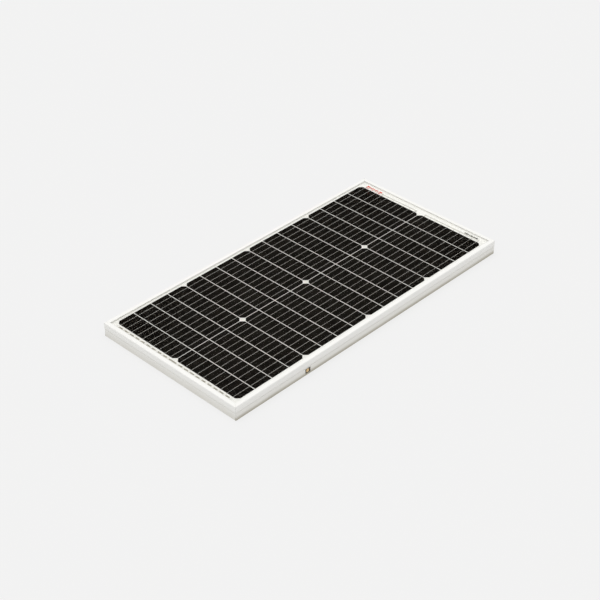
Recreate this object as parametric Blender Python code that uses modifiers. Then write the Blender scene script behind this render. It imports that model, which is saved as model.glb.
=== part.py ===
"""A framed monocrystalline solar panel, built as separate pieces.

A laminate of glass, encapsulant, cell strips and backsheet sits in a groove of four mitred frame
rails held by corner keys, with a junction box glued on the back. X runs along the long side, Y across
it and Z up, out of the glass. The origin is at the middle of the footprint, on the surface below.
"""

import math

import bmesh
import bpy
from mathutils import Matrix, Vector

MM = 0.001

# ---- Whole panel ----
LENGTH = 809 * MM
WIDTH = 397 * MM
HEIGHT = 35 * MM
LAYER_GAP = 0.02 * MM  # free space left between bonded layers

# ---- Cells: square wafers from a round ingot, each cut into four strips ----
WAFER = 182 * MM
INGOT_RADIUS = 123.5 * MM
STRIPS_PER_WAFER = 4
WAFERS_PER_ROW = 4
STRIP_GAP = 2 * MM  # between the strips of a row
ROW_GAP = 1.6 * MM  # between the two rows
NEAR_MARGIN = 21.5 * MM  # from the left end of the frame to the first strip
STRIP = WAFER / STRIPS_PER_WAFER
STRIPS_PER_ROW = STRIPS_PER_WAFER * WAFERS_PER_ROW
CELL_FIELD = STRIPS_PER_ROW * STRIP + (STRIPS_PER_ROW - 1) * STRIP_GAP
CELLS_START = NEAR_MARGIN - LENGTH / 2
CELLS_END = CELLS_START + CELL_FIELD
ROW_CENTRE = (WAFER + ROW_GAP) / 2

# ---- Frame profile: inward distance from the outer face, and height ----
WALL = 1.5 * MM
LIP_WIDTH = 9.5 * MM
LIP_THICKNESS = 1.3 * MM
SHELF_HEIGHT = 28 * MM
SHELF_WIDTH = 10.2 * MM
GROOVE_BACK = 1.8 * MM
CHAMBER = (2.0 * MM, 8.6 * MM, 1.6 * MM, 26.4 * MM)  # inner space: from, to, bottom, top
FLANGE_WIDTH = 25 * MM
FLANGE_THICKNESS = 1.5 * MM
TOP_RADIUS = 2 * MM
BOTTOM_RADIUS = 0.6 * MM
LOWER_SETBACK = 0.4 * MM  # the lower half of the outer wall lies this much further in
STEP_LEVEL = 19.6 * MM  # top of the shadow line between the two halves
STEP_DEPTH = 1.2 * MM
BEAD_DEPTH = 0.55 * MM  # the fine line below the lip
MITRE_GAP = 0.12 * MM

# ---- Frame openings ----
SLOT_LENGTH = 14 * MM
SLOT_WIDTH = 9 * MM
SLOT_INSET = 17.7 * MM
QUARTER = LENGTH / 4
WINDOW_LENGTH = 15 * MM
WINDOW_BOTTOM = 3.4 * MM
WINDOW_TOP = 16.2 * MM
EARTH_HOLE_RADIUS = 2.1 * MM
DRAIN_LENGTH = 12 * MM
DRAIN_WIDTH = 3.6 * MM
DRAIN_FROM_END = 45 * MM
KEY_LEG = 34 * MM
KEY_CLEARANCE = 0.3 * MM

# ---- Laminate, from the glass down ----
LAMINATE_INSET = 3.5 * MM
SEAL_OVER_GLASS = 0.2 * MM
GLASS = 3.2 * MM
ENCAPSULANT = 0.45 * MM
CELL = 0.18 * MM
BACKSHEET = 0.32 * MM
GLASS_TOP = HEIGHT - LIP_THICKNESS - SEAL_OVER_GLASS
GLASS_BOTTOM = GLASS_TOP - GLASS
FRONT_FILM_BOTTOM = GLASS_BOTTOM - LAYER_GAP - ENCAPSULANT
CELL_TOP = FRONT_FILM_BOTTOM - LAYER_GAP
CELL_BOTTOM = CELL_TOP - CELL
REAR_FILM_TOP = CELL_BOTTOM - LAYER_GAP
REAR_FILM_BOTTOM = REAR_FILM_TOP - ENCAPSULANT
BACKSHEET_TOP = REAR_FILM_BOTTOM - LAYER_GAP
BACKSHEET_BOTTOM = BACKSHEET_TOP - BACKSHEET

# ---- Bus ribbons ----
RIBBON_WIDTH = 3.5 * MM
BUSBAR_PITCH = 17.25 * MM
BUSBARS = 10
RIBBON_REACH = ROW_CENTRE + (BUSBARS - 1) / 2 * BUSBAR_PITCH + RIBBON_WIDTH / 2
CROSS_RIBBON_X = CELLS_START - 6.3 * MM
LEAD_RIBBON_X = CELLS_END + 7 * MM
LEAD_Y = 14 * MM  # where each lead leaves its ribbon for the junction box
LEAD_THICKNESS = 0.2 * MM
LEAD_LEVEL = REAR_FILM_TOP - 0.22 * MM
LEAD_RISE_X = LEAD_RIBBON_X - 4 * MM
CHANNEL_WIDTH = RIBBON_WIDTH + 1.0 * MM

# ---- Junction box: glands on its left side, lid below, lid hinge on its right side ----
BOX_X = 317 * MM
BOX_HALF = (35 * MM, 45 * MM)
BOX_CORNER = 4 * MM
BOX_WALL = 2 * MM
ADHESIVE = 0.7 * MM
BOX_TOP = BACKSHEET_BOTTOM - ADHESIVE - 4 * LAYER_GAP
BOX_RIM = 10.5 * MM
LEAD_DROP_X = BOX_X + 20 * MM
LEAD_END = 21.5 * MM
RIBBON_WINDOW = (19.5 * MM, 8.5 * MM)  # centre, from the box's middle, and half length
LID_BOTTOM = 8 * MM
LID_TOP = 10.2 * MM
LID_SKIRT_TOP = 13.2 * MM
LID_SKIRT = 1.6 * MM
LID_CLEARANCE = 0.4 * MM
SEAL_GROOVE = (0.5 * MM, 1.5 * MM, 0.7 * MM)  # from and to, inside the outline, and depth
HINGE_X = BOX_X + BOX_HALF[0] + 3.6 * MM
HINGE_Z = 11.6 * MM
PIN_RADIUS = 1.4 * MM
EAR_BORE = 1.65 * MM
EAR_RADIUS = 3.1 * MM
EAR_Y = 30 * MM
EAR_HALF = 4.5 * MM
LUG_HALF = 2 * MM
LUG_OFFSET = 8 * MM
TONGUE_HALF = 7 * MM

# ---- Cable glands ----
GLAND_Y = 25 * MM
GLAND_Z = 19 * MM
CABLE_BORE = 3.5 * MM
SPIGOT_RADIUS = 6 * MM
SPIGOT_LENGTH = 10 * MM
THREAD_PITCH = 1.5 * MM
THREAD_DEPTH = 0.35 * MM
NUT_START = 0.8 * MM  # from the box's wall to the nut
NUT_LENGTH = 14 * MM
NUT_ACROSS_FLATS = 16 * MM
NUT_BORE = 6.25 * MM
NUT_END_WALL = 1.6 * MM
CABLE_SEAL_RADIUS = 5.8 * MM
ROUND_STEPS = 32

# ---- Terminals, diode and earthing screw ----
TERMINAL = (29 * MM, 7 * MM, 0.8 * MM)  # length, half width and thickness
TERMINAL_Y = 14 * MM
DIODE_X = BOX_X - 5 * MM
DIODE_Z = 21.6 * MM
DIODE_RADIUS = 2.5 * MM
DIODE_HALF = 4.5 * MM
DIODE_LEAD_RADIUS = 0.6 * MM
SCREW_ACROSS_FLATS = 8 * MM
SCREW_FLANGE_RADIUS = 5.6 * MM
SCREW_HEAD_OUT = 1.3 * MM  # from the frame's outer face to the face of the head
SCREW_HEAD = 4.5 * MM
SCREW_FLANGE = 1.4 * MM
SCREW_RADIUS = 2.4 * MM


# ---------------------------------------------------------------- helpers


def clear_scene():
    for existing in list(bpy.data.objects):
        bpy.data.objects.remove(existing)


def make_collection(name):
    collection = bpy.data.collections.new(name)
    bpy.context.scene.collection.children.link(collection)
    return collection


def make_material(name, colour, roughness, metallic=0.0, alpha=1.0):
    material = bpy.data.materials.new(name)
    material.use_nodes = True
    shader = material.node_tree.nodes["Principled BSDF"]
    shader.inputs["Base Color"].default_value = (*colour, 1.0)
    shader.inputs["Roughness"].default_value = roughness
    shader.inputs["Metallic"].default_value = metallic
    shader.inputs["Alpha"].default_value = alpha
    return material


def add_object(name, data, material=None):
    """A part with a material, or a hidden cutter without one."""
    new = bpy.data.objects.new(name, data)
    if material is None:
        CUTTERS.objects.link(new)
        new.hide_render = True
        new.display_type = "WIRE"
    else:
        PANEL.objects.link(new)
        if not data.materials:
            data.materials.append(material)
    return new


def finish_mesh(builder, name):
    bmesh.ops.recalc_face_normals(builder, faces=builder.faces)
    mesh = bpy.data.meshes.new(name)
    builder.to_mesh(mesh)
    builder.free()
    return mesh


def add_box(name, low, high, material=None):
    low, high = Vector(low), Vector(high)
    builder = bmesh.new()
    bmesh.ops.create_cube(builder, size=1, matrix=Matrix.Diagonal((*(high - low), 1)))
    box = add_object(name, finish_mesh(builder, name), material)
    box.location = (low + high) / 2
    return box


def add_round(name, radius, start, end, material=None, sides=ROUND_STEPS):
    """A straight prism of many sides between two points."""
    start, end = Vector(start), Vector(end)
    builder = bmesh.new()
    bmesh.ops.create_cone(
        builder,
        cap_ends=True,
        segments=sides,
        radius1=radius,
        radius2=radius,
        depth=(end - start).length,
    )
    rod = add_object(name, finish_mesh(builder, name), material)
    rod.location = (start + end) / 2
    rod.rotation_euler = (end - start).to_track_quat("Z", "Y").to_euler()
    smooth(rod.data)
    return rod


def smooth(mesh):
    mesh.shade_smooth()
    mesh.set_sharp_from_angle(angle=math.radians(30))


def outline_mesh(name, loops, thickness):
    """A slab about the XY plane: the first loop is its edge, and later loops are holes."""
    curve = bpy.data.curves.new(name, "CURVE")
    curve.dimensions = "2D"
    curve.fill_mode = "BOTH"
    curve.extrude = thickness / 2
    for loop in loops:
        spline = curve.splines.new("POLY")
        spline.points.add(len(loop) - 1)
        for point, (x, y) in zip(spline.points, loop):
            point.co = (x, y, 0, 1)
        spline.use_cyclic_u = True
    flat = bpy.data.objects.new(name, curve)
    bpy.context.scene.collection.objects.link(flat)
    graph = bpy.context.evaluated_depsgraph_get()
    raw = bpy.data.meshes.new_from_object(flat.evaluated_get(graph))
    bpy.data.objects.remove(flat)
    builder = bmesh.new()
    builder.from_mesh(raw)
    bpy.data.meshes.remove(raw)
    bmesh.ops.remove_doubles(builder, verts=builder.verts, dist=0.002 * MM)
    return finish_mesh(builder, name)


def add_slab(name, loops, bottom, top, material=None, centre=(0, 0)):
    slab = add_object(name, outline_mesh(name, loops, top - bottom), material)
    slab.location = (*centre, (top + bottom) / 2)
    return slab


def turned_mesh(name, profile):
    """The closed outline of a turned shape, as radius and height, that a Screw modifier sweeps."""
    builder = bmesh.new()
    points = [builder.verts.new((radius, 0, height)) for radius, height in profile]
    for first, second in zip(points, points[1:] + points[:1]):
        builder.edges.new((first, second))
    mesh = bpy.data.meshes.new(name)
    builder.to_mesh(mesh)
    builder.free()
    return mesh


def add_turned(name, profile, position, direction, material=None):
    """A turned ring. Its profile runs down the outer side and up the inner one."""
    ring = add_object(name, turned_mesh(name, profile), material)
    sweep = ring.modifiers.new("sweep", "SCREW")
    sweep.steps = sweep.render_steps = ROUND_STEPS
    sweep.use_merge_vertices = True
    sweep.merge_threshold = 0.0001
    ring.location = position
    ring.rotation_euler = Vector(direction).to_track_quat("Z", "Y").to_euler()
    return ring


def combine(target, other, operation="DIFFERENCE"):
    step = target.modifiers.new(other.name, "BOOLEAN")
    step.operation = operation
    step.object = other


def arc(centre, radius, start, end, steps):
    """Points on an arc, with its angles in degrees."""
    angles = [math.radians(start + (end - start) * i / steps) for i in range(steps + 1)]
    return [(centre[0] + radius * math.cos(a), centre[1] + radius * math.sin(a)) for a in angles]


def rounded_rectangle(half_x, half_y, radius, steps=4):
    corners = ((-1, -1, 180), (1, -1, 270), (1, 1, 0), (-1, 1, 90))
    points = []
    for side_x, side_y, start in corners:
        centre = (side_x * (half_x - radius), side_y * (half_y - radius))
        points += arc(centre, radius, start, start + 90, steps)
    return points


def rectangle(half_x, half_y):
    return [(-half_x, -half_y), (half_x, -half_y), (half_x, half_y), (-half_x, half_y)]


def slot_outline(length, width):
    """A slot along X with round ends."""
    offset = (length - width) / 2
    return arc((offset, 0), width / 2, -90, 90, 8) + arc((-offset, 0), width / 2, 90, 270, 8)


# ---------------------------------------------------------------- frame


def rail_profile():
    """The outer edge of the extrusion, anticlockwise from the foot of its outer wall."""
    lip_bottom = HEIGHT - LIP_THICKNESS
    edge = 0.5 * MM
    setback = LOWER_SETBACK
    bead = SHELF_HEIGHT + 0.6 * MM
    foot = arc((setback + BOTTOM_RADIUS, BOTTOM_RADIUS), BOTTOM_RADIUS, 180, 270, 6)
    flange_end = (FLANGE_WIDTH - FLANGE_THICKNESS / 2, FLANGE_THICKNESS / 2)
    return [
        *foot,
        *arc(flange_end, FLANGE_THICKNESS / 2, -90, 90, 6),
        (SHELF_WIDTH, FLANGE_THICKNESS),
        *arc((SHELF_WIDTH - edge, SHELF_HEIGHT - edge), edge, 0, 90, 3),
        (GROOVE_BACK, SHELF_HEIGHT),
        (GROOVE_BACK, lip_bottom),
        (LIP_WIDTH, lip_bottom),
        *arc((LIP_WIDTH - edge, HEIGHT - edge), edge, 0, 90, 3),
        *arc((TOP_RADIUS, HEIGHT - TOP_RADIUS), TOP_RADIUS, 90, 180, 6),
        (0, bead + 0.5 * MM),
        (BEAD_DEPTH, bead + 0.2 * MM),
        (BEAD_DEPTH, bead - 0.2 * MM),
        (0, bead - 0.5 * MM),
        (0, STEP_LEVEL),
        (STEP_DEPTH, STEP_LEVEL - 0.4 * MM),
        (STEP_DEPTH, STEP_LEVEL - 1.4 * MM),
        (setback, STEP_LEVEL - 1.9 * MM),
    ]


def chamber_profile():
    """The hollow of the extrusion, which is rounder where it follows the foot of the outer wall."""
    near, far, bottom, top = CHAMBER
    foot = 2.0 * MM
    corner = 0.6 * MM
    return [
        *arc((near + foot, bottom + foot), foot, 180, 270, 4),
        *arc((far - corner, bottom + corner), corner, -90, 0, 2),
        *arc((far - corner, top - corner), corner, 0, 90, 2),
        *arc((near + corner, top - corner), corner, 90, 180, 2),
    ]


def rail_mesh(name, length):
    """A mitred rail that lies along X, with its outer face towards -Y."""
    mesh = outline_mesh(name, [rail_profile(), chamber_profile()], length)
    for vertex in mesh.vertices:
        inward, up, along = vertex.co
        mitred = length / 2 - inward - MITRE_GAP
        vertex.co = (math.copysign(mitred, along), inward, up)
    smooth(mesh)
    return mesh


def add_rail(name, length, distance, turn, material):
    """A rail turned about Z, with its outer face at this distance from the middle."""
    rail = add_object(name, rail_mesh(name, length), material)
    spin = Matrix.Rotation(math.radians(turn), 4, "Z")
    rail.matrix_world = spin @ Matrix.Translation((0, -distance, 0))
    return rail


def cut_flange(rail, name, loops, x, y):
    """A hole through the flange of a rail, at this place in the panel."""
    combine(rail, add_slab(name, loops, -1 * MM, 4 * MM, centre=(x, y)))


def add_long_rails(material):
    front = add_rail("frame_rail_front", LENGTH, WIDTH / 2, 0, material)
    rear = add_rail("frame_rail_rear", LENGTH, WIDTH / 2, 180, material)
    for rail, side in ((front, -1), (rear, 1)):
        y = side * (WIDTH / 2 - SLOT_INSET)
        for end in (-1, 1):
            label = f"{rail.name}_{end}"
            slot = slot_outline(SLOT_LENGTH, SLOT_WIDTH)
            cut_flange(rail, label + "_slot", [slot], end * QUARTER, y)
            drain = slot_outline(DRAIN_LENGTH, DRAIN_WIDTH)
            drain_x = end * (LENGTH / 2 - DRAIN_FROM_END)
            cut_flange(rail, label + "_drain", [drain], drain_x, y)
    return front


def add_end_rails(material):
    left = add_rail("frame_rail_left", WIDTH, LENGTH / 2, 270, material)
    right = add_rail("frame_rail_right", WIDTH, LENGTH / 2, 90, material)
    for rail, side in ((left, -1), (right, 1)):
        for end in (-1, 1):
            hole = arc((0, 0), EARTH_HOLE_RADIUS, 0, 345, 23)
            x = side * (LENGTH / 2 - SLOT_INSET)
            cut_flange(rail, f"{rail.name}_{end}_earth_hole", [hole], x, end * WIDTH / 6)


def cut_earthing_window(rail):
    """The window at the quarter point of the front rail, and the hole for the screw behind it."""
    middle = Vector((-QUARTER, -WIDTH / 2, (WINDOW_BOTTOM + WINDOW_TOP) / 2))
    corner = 1.2 * MM
    loop = rounded_rectangle(WINDOW_LENGTH / 2, (WINDOW_TOP - WINDOW_BOTTOM) / 2, corner)
    window = add_slab("earthing_window", [loop], -2 * MM, CHAMBER[0] + 1 * MM)
    window.rotation_euler = (math.radians(-90), 0, 0)
    window.location = middle
    combine(rail, window)
    hole_start = middle + Vector((0, CHAMBER[1] - 1 * MM, 0))
    hole_end = middle + Vector((0, SHELF_WIDTH + 1 * MM, 0))
    combine(rail, add_round("earthing_hole", SCREW_RADIUS + 0.1 * MM, hole_start, hole_end))
    return middle


def corner_key_outline():
    """An L with its corner at the origin and toothed inner sides, which grip the chambers."""
    near = CHAMBER[0] + KEY_CLEARANCE
    far = CHAMBER[1] - KEY_CLEARANCE
    tooth = 5 * MM
    depth = 0.7 * MM
    teeth = []
    for step in range(4):
        start = far + 4 * MM + step * tooth
        teeth += [(start, far), (start + tooth - depth, far - depth), (start + tooth, far)]
    tip = 1.5 * MM
    leg = [(near, near), (KEY_LEG, near), (KEY_LEG, far - tip), (KEY_LEG - tip, far)]
    inner = [point for point in reversed(teeth) if point[0] < KEY_LEG - tip]
    mirrored = [(y, x) for x, y in reversed(leg[1:] + inner)]
    return leg + inner + [(far, far)] + mirrored


def add_corner_keys(material):
    bottom = CHAMBER[2] + 2.3 * MM
    top = CHAMBER[3] - KEY_CLEARANCE
    mesh = outline_mesh("corner_key", [corner_key_outline()], top - bottom)
    corners = {
        "corner_key_front_left": (-1, -1, 0),
        "corner_key_front_right": (1, -1, 90),
        "corner_key_rear_right": (1, 1, 180),
        "corner_key_rear_left": (-1, 1, 270),
    }
    for name, (side_x, side_y, turn) in corners.items():
        key = add_object(name, mesh, material)
        key.location = (side_x * LENGTH / 2, side_y * WIDTH / 2, (bottom + top) / 2)
        key.rotation_euler.z = math.radians(turn)


def add_earthing_screw(middle, material):
    """A flanged hexagon screw on the inner wall of the chamber, with its head in the window."""
    face = middle.y + SCREW_HEAD_OUT
    seat = face + SCREW_HEAD
    end = middle.y + SHELF_WIDTH + 2 * MM
    wall = middle.y + CHAMBER[1] - 0.1 * MM
    points = {name: Vector((middle.x, y, middle.z)) for name, y in
              (("face", face), ("seat", seat), ("wall", wall), ("end", end))}
    screw = add_round("earthing_screw", SCREW_ACROSS_FLATS / math.sqrt(3),
                      points["face"], points["seat"], material, sides=6)
    bite = Vector((0, 0.3 * MM, 0))
    flange = add_round("earthing_flange", SCREW_FLANGE_RADIUS, points["seat"] - bite, points["wall"])
    shank = add_round("earthing_shank", SCREW_RADIUS, points["wall"] - bite, points["end"])
    combine(screw, flange, "UNION")
    combine(screw, shank, "UNION")


# ---------------------------------------------------------------- laminate


def add_sheet(name, bottom, top, material):
    half_x = LENGTH / 2 - LAMINATE_INSET
    half_y = WIDTH / 2 - LAMINATE_INSET
    return add_box(name, (-half_x, -half_y, bottom), (half_x, half_y, top), material)


def add_edge_seal(material):
    """The bead of sealant round the edge of the laminate, a channel that is open inwards."""
    def loop(inset):
        return rectangle(LENGTH / 2 - inset, WIDTH / 2 - inset)

    bottom = SHELF_HEIGHT + 0.1 * MM
    top = HEIGHT - LIP_THICKNESS - 0.06 * MM
    outer = GROOVE_BACK + 0.15 * MM
    seal = add_slab("edge_seal", [loop(outer), loop(LIP_WIDTH - 0.4 * MM)], bottom, top, material)
    room = 0.08 * MM
    hollow = loop(LAMINATE_INSET - room)
    combine(seal, add_slab("laminate_room", [hollow], BACKSHEET_BOTTOM - room, GLASS_TOP + room))


def strip_outline(position):
    """A strip of a wafer. The first and last strips carry the wafer's cut corners."""
    half_x, half_y = STRIP / 2, WAFER / 2
    wafer_centre = ((STRIPS_PER_WAFER - 1) / 2 - position) * STRIP
    reach = math.degrees(math.acos(half_y / INGOT_RADIUS))
    half_arc = 45 - reach
    points = []
    for side_x, side_y, corner in ((-1, -1, 225), (1, -1, 315), (1, 1, 45), (-1, 1, 135)):
        at_wafer_edge = position == (0 if side_x < 0 else STRIPS_PER_WAFER - 1)
        if at_wafer_edge:
            centre = (wafer_centre, 0)
            points += arc(centre, INGOT_RADIUS, corner - half_arc, corner + half_arc, 3)
        else:
            points.append((side_x * half_x, side_y * half_y))
    return points


def add_cells(material):
    """Two rows of strips. Row a is the rear one, and numbers rise towards the junction box."""
    meshes = [
        outline_mesh(f"strip_{position}", [strip_outline(position)], CELL)
        for position in range(STRIPS_PER_WAFER)
    ]
    for row, side in (("a", 1), ("b", -1)):
        for number in range(STRIPS_PER_ROW):
            mesh = meshes[number % STRIPS_PER_WAFER]
            cell = add_object(f"cell_{row}{number + 1:02d}", mesh, material)
            x = CELLS_START + STRIP / 2 + number * (STRIP + STRIP_GAP)
            cell.location = (x, side * ROW_CENTRE, (CELL_TOP + CELL_BOTTOM) / 2)


def add_cross_ribbon(material):
    half = RIBBON_WIDTH / 2
    low = (CROSS_RIBBON_X - half, -RIBBON_REACH, CELL_BOTTOM)
    high = (CROSS_RIBBON_X + half, RIBBON_REACH, CELL_TOP)
    add_box("bus_ribbon_cross", low, high, material)


def add_lead_ribbon(name, side, material):
    """The bus ribbon of one row, with its lead folded under the cells and down into the box."""
    half = RIBBON_WIDTH / 2
    ends = sorted((side * (LEAD_Y - half), side * RIBBON_REACH))
    low = (LEAD_RIBBON_X - half, ends[0], CELL_BOTTOM)
    high = (LEAD_RIBBON_X + half, ends[1], CELL_TOP)
    ribbon = add_box(name, low, high, material)
    middle = (CELL_TOP + CELL_BOTTOM) / 2
    route = [
        (LEAD_RIBBON_X, middle),
        (LEAD_RISE_X, middle),
        (LEAD_RISE_X, LEAD_LEVEL),
        (LEAD_DROP_X, LEAD_LEVEL),
        (LEAD_DROP_X, LEAD_END),
    ]
    builder = bmesh.new()
    edges = [
        [builder.verts.new((x, side * LEAD_Y + across, z)) for x, z in route]
        for across in (-half, half)
    ]
    for i in range(len(route) - 1):
        builder.faces.new((edges[0][i], edges[0][i + 1], edges[1][i + 1], edges[1][i]))
    lead = add_object(name + "_lead", finish_mesh(builder, name + "_lead"))
    sheet = lead.modifiers.new("thickness", "SOLIDIFY")
    sheet.thickness = LEAD_THICKNESS - 2 * LAYER_GAP
    sheet.offset = 0
    sheet.use_even_offset = True
    combine(ribbon, lead, "UNION")


def cut_lead_paths(rear_film, backsheet):
    """A channel in the rear film and a slit in the backsheet for each lead."""
    half = CHANNEL_WIDTH / 2
    for side in (-1, 1):
        near, far = side * LEAD_Y - half, side * LEAD_Y + half
        start = LEAD_DROP_X - 0.7 * MM
        channel_end = LEAD_RISE_X + 0.7 * MM
        channel = add_box(f"lead_channel_{side}", (start, near, REAR_FILM_BOTTOM - 0.1 * MM),
                          (channel_end, far, REAR_FILM_TOP + 0.1 * MM))
        combine(rear_film, channel)
        slit = add_box(f"lead_slit_{side}", (start, near, BACKSHEET_BOTTOM - 1 * MM),
                       (LEAD_DROP_X + 0.7 * MM, far, BACKSHEET_TOP + 0.1 * MM))
        combine(backsheet, slit)


# ---------------------------------------------------------------- junction box


def box_loop(inset):
    radius = max(BOX_CORNER - inset, 0.6 * MM)
    return rounded_rectangle(BOX_HALF[0] - inset, BOX_HALF[1] - inset, radius)


def box_slab(name, insets, bottom, top, material=None):
    return add_slab(name, [box_loop(inset) for inset in insets], bottom, top, material, (BOX_X, 0))


def spigot_profile():
    """The threaded outside of a gland's spigot, with its root buried in the box's wall."""
    root = -1 * MM
    points = []
    turns = int((SPIGOT_LENGTH - 1 * MM) / THREAD_PITCH)
    for turn in range(turns):
        crest = SPIGOT_LENGTH - 0.4 * MM - turn * THREAD_PITCH
        points.append((SPIGOT_RADIUS - THREAD_DEPTH, crest))
        points.append((SPIGOT_RADIUS, crest - THREAD_PITCH / 2))
    core = CABLE_BORE
    return [(core, SPIGOT_LENGTH), (SPIGOT_RADIUS - 2 * THREAD_DEPTH, SPIGOT_LENGTH), *points,
            (SPIGOT_RADIUS, root), (core, root)]


def lug_outline():
    """The side view of a hinge lug, about its pin, as distances along X and up."""
    radius = EAR_RADIUS - 0.3 * MM
    reach = HINGE_X - BOX_X - BOX_HALF[0] + 1 * MM
    low = BOX_RIM - HINGE_Z
    start = math.degrees(math.asin(low / radius))
    return [*arc((0, 0), radius, start, 90, 8), (-reach, radius), (-reach, low)]


def add_upright(name, loop, x, y, z, half_width):
    """A slab whose outline stands in the XZ plane."""
    slab = add_slab(name, [loop], -half_width, half_width)
    slab.rotation_euler = (math.radians(90), 0, 0)
    slab.location = (x, y, z)
    return slab


def add_box_base(material):
    roof = BOX_WALL
    base = box_slab("junction_box_base", [0], BOX_RIM, BOX_TOP, material)
    combine(base, box_slab("box_hollow", [BOX_WALL], BOX_RIM - 1 * MM, BOX_TOP - roof))
    wall_x = BOX_X - BOX_HALF[0]
    for side in (-1, 1):
        y = side * GLAND_Y
        spigot = add_turned(f"spigot_{side}", spigot_profile(), (wall_x, y, GLAND_Z), (-1, 0, 0))
        combine(base, spigot, "UNION")
        start = (wall_x - SPIGOT_LENGTH - 1 * MM, y, GLAND_Z)
        end = (wall_x + BOX_WALL + 1 * MM, y, GLAND_Z)
        combine(base, add_round(f"cable_bore_{side}", CABLE_BORE, start, end))
    centre, half_length = RIBBON_WINDOW
    window = add_slab("ribbon_window", [rounded_rectangle(half_length, 20 * MM, 1.5 * MM)],
                      BOX_TOP - roof - 1 * MM, BOX_TOP + 1 * MM, centre=(BOX_X + centre, 0))
    combine(base, window)
    for side in (-1, 1):
        y = side * EAR_Y
        pin_half = LUG_OFFSET + LUG_HALF - 0.5 * MM
        for end in (-1, 1):
            lug = add_upright(f"lug_{side}_{end}", lug_outline(), HINGE_X,
                              y + end * LUG_OFFSET, HINGE_Z, LUG_HALF)
            combine(base, lug, "UNION")
        pin = add_round(f"hinge_pin_{side}", PIN_RADIUS, (HINGE_X, y - pin_half, HINGE_Z),
                        (HINGE_X, y + pin_half, HINGE_Z), sides=24)
        combine(base, pin, "UNION")
    ridge_x = wall_x - 0.3 * MM
    ridge = add_box("latch_ridge", (ridge_x, -TONGUE_HALF + 1 * MM, 13 * MM),
                    (wall_x + 1 * MM, TONGUE_HALF - 1 * MM, 14.2 * MM))
    combine(base, ridge, "UNION")


def add_lid(material, seal_material):
    """The lid: a plate with a skirt inside the walls, two hooks on the pins and a latch tongue."""
    lid = box_slab("junction_box_lid", [0], LID_BOTTOM, LID_TOP, material)
    skirt_out = BOX_WALL + LID_CLEARANCE
    insets = [skirt_out, skirt_out + LID_SKIRT]
    skirt = box_slab("lid_skirt", insets, LID_TOP - 0.5 * MM, LID_SKIRT_TOP)
    combine(lid, skirt, "UNION")
    lid.modifiers[-1].solver = "MANIFOLD"
    groove_out, groove_in, groove_depth = SEAL_GROOVE
    groove = box_slab("seal_groove", [groove_out, groove_in], LID_TOP - groove_depth, LID_TOP + 1 * MM)
    combine(lid, groove)
    panel = rounded_rectangle(BOX_HALF[0] - 8 * MM, BOX_HALF[1] - 8 * MM, 3 * MM)
    combine(lid, add_slab("lid_panel", [panel], LID_BOTTOM - 1 * MM, LID_BOTTOM + 0.5 * MM,
                          centre=(BOX_X, 0)))
    for side in (-1, 1):
        y = side * EAR_Y
        arm_half = EAR_HALF - 0.3 * MM
        arm = add_box(f"hook_arm_{side}", (HINGE_X - 6.5 * MM, y - arm_half, LID_BOTTOM + 0.2 * MM),
                      (HINGE_X, y + arm_half, LID_TOP - SEAL_GROOVE[2] - 0.2 * MM))
        combine(lid, arm, "UNION")
        ends = [(HINGE_X, y - EAR_HALF, HINGE_Z), (HINGE_X, y + EAR_HALF, HINGE_Z)]
        combine(lid, add_round(f"hook_{side}", EAR_RADIUS, *ends), "UNION")
        past = Vector((0, 1 * MM, 0))
        bore = add_round(f"hook_bore_{side}", EAR_BORE, Vector(ends[0]) - past, Vector(ends[1]) + past)
        combine(lid, bore)
        mouth = 1.15 * MM
        combine(lid, add_box(f"hook_mouth_{side}", (HINGE_X, y - EAR_HALF - 1 * MM, HINGE_Z - mouth),
                             (HINGE_X + 5 * MM, y + EAR_HALF + 1 * MM, HINGE_Z + mouth)))
    wall_x = BOX_X - BOX_HALF[0]
    tongue = add_box("latch_tongue", (wall_x - 2.4 * MM, -TONGUE_HALF, LID_BOTTOM + 0.1 * MM),
                     (wall_x - 0.6 * MM, TONGUE_HALF, 17 * MM))
    bridge = add_box("latch_bridge", (wall_x - 1.5 * MM, -TONGUE_HALF + 0.2 * MM, LID_BOTTOM + 0.3 * MM),
                     (wall_x + 3 * MM, TONGUE_HALF - 0.2 * MM, LID_TOP - groove_depth - 0.2 * MM))
    lip = add_box("latch_lip", (wall_x - 3.8 * MM, -TONGUE_HALF + 0.3 * MM, 15.3 * MM),
                  (wall_x - 1.5 * MM, TONGUE_HALF - 0.3 * MM, 16.8 * MM))
    for piece in (tongue, bridge, lip):
        combine(lid, piece, "UNION")
    slack = 0.1 * MM
    box_slab("lid_seal", [groove_out + slack, groove_in - slack],
             LID_TOP - groove_depth + slack / 2, LID_TOP + 0.15 * MM, seal_material)


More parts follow.
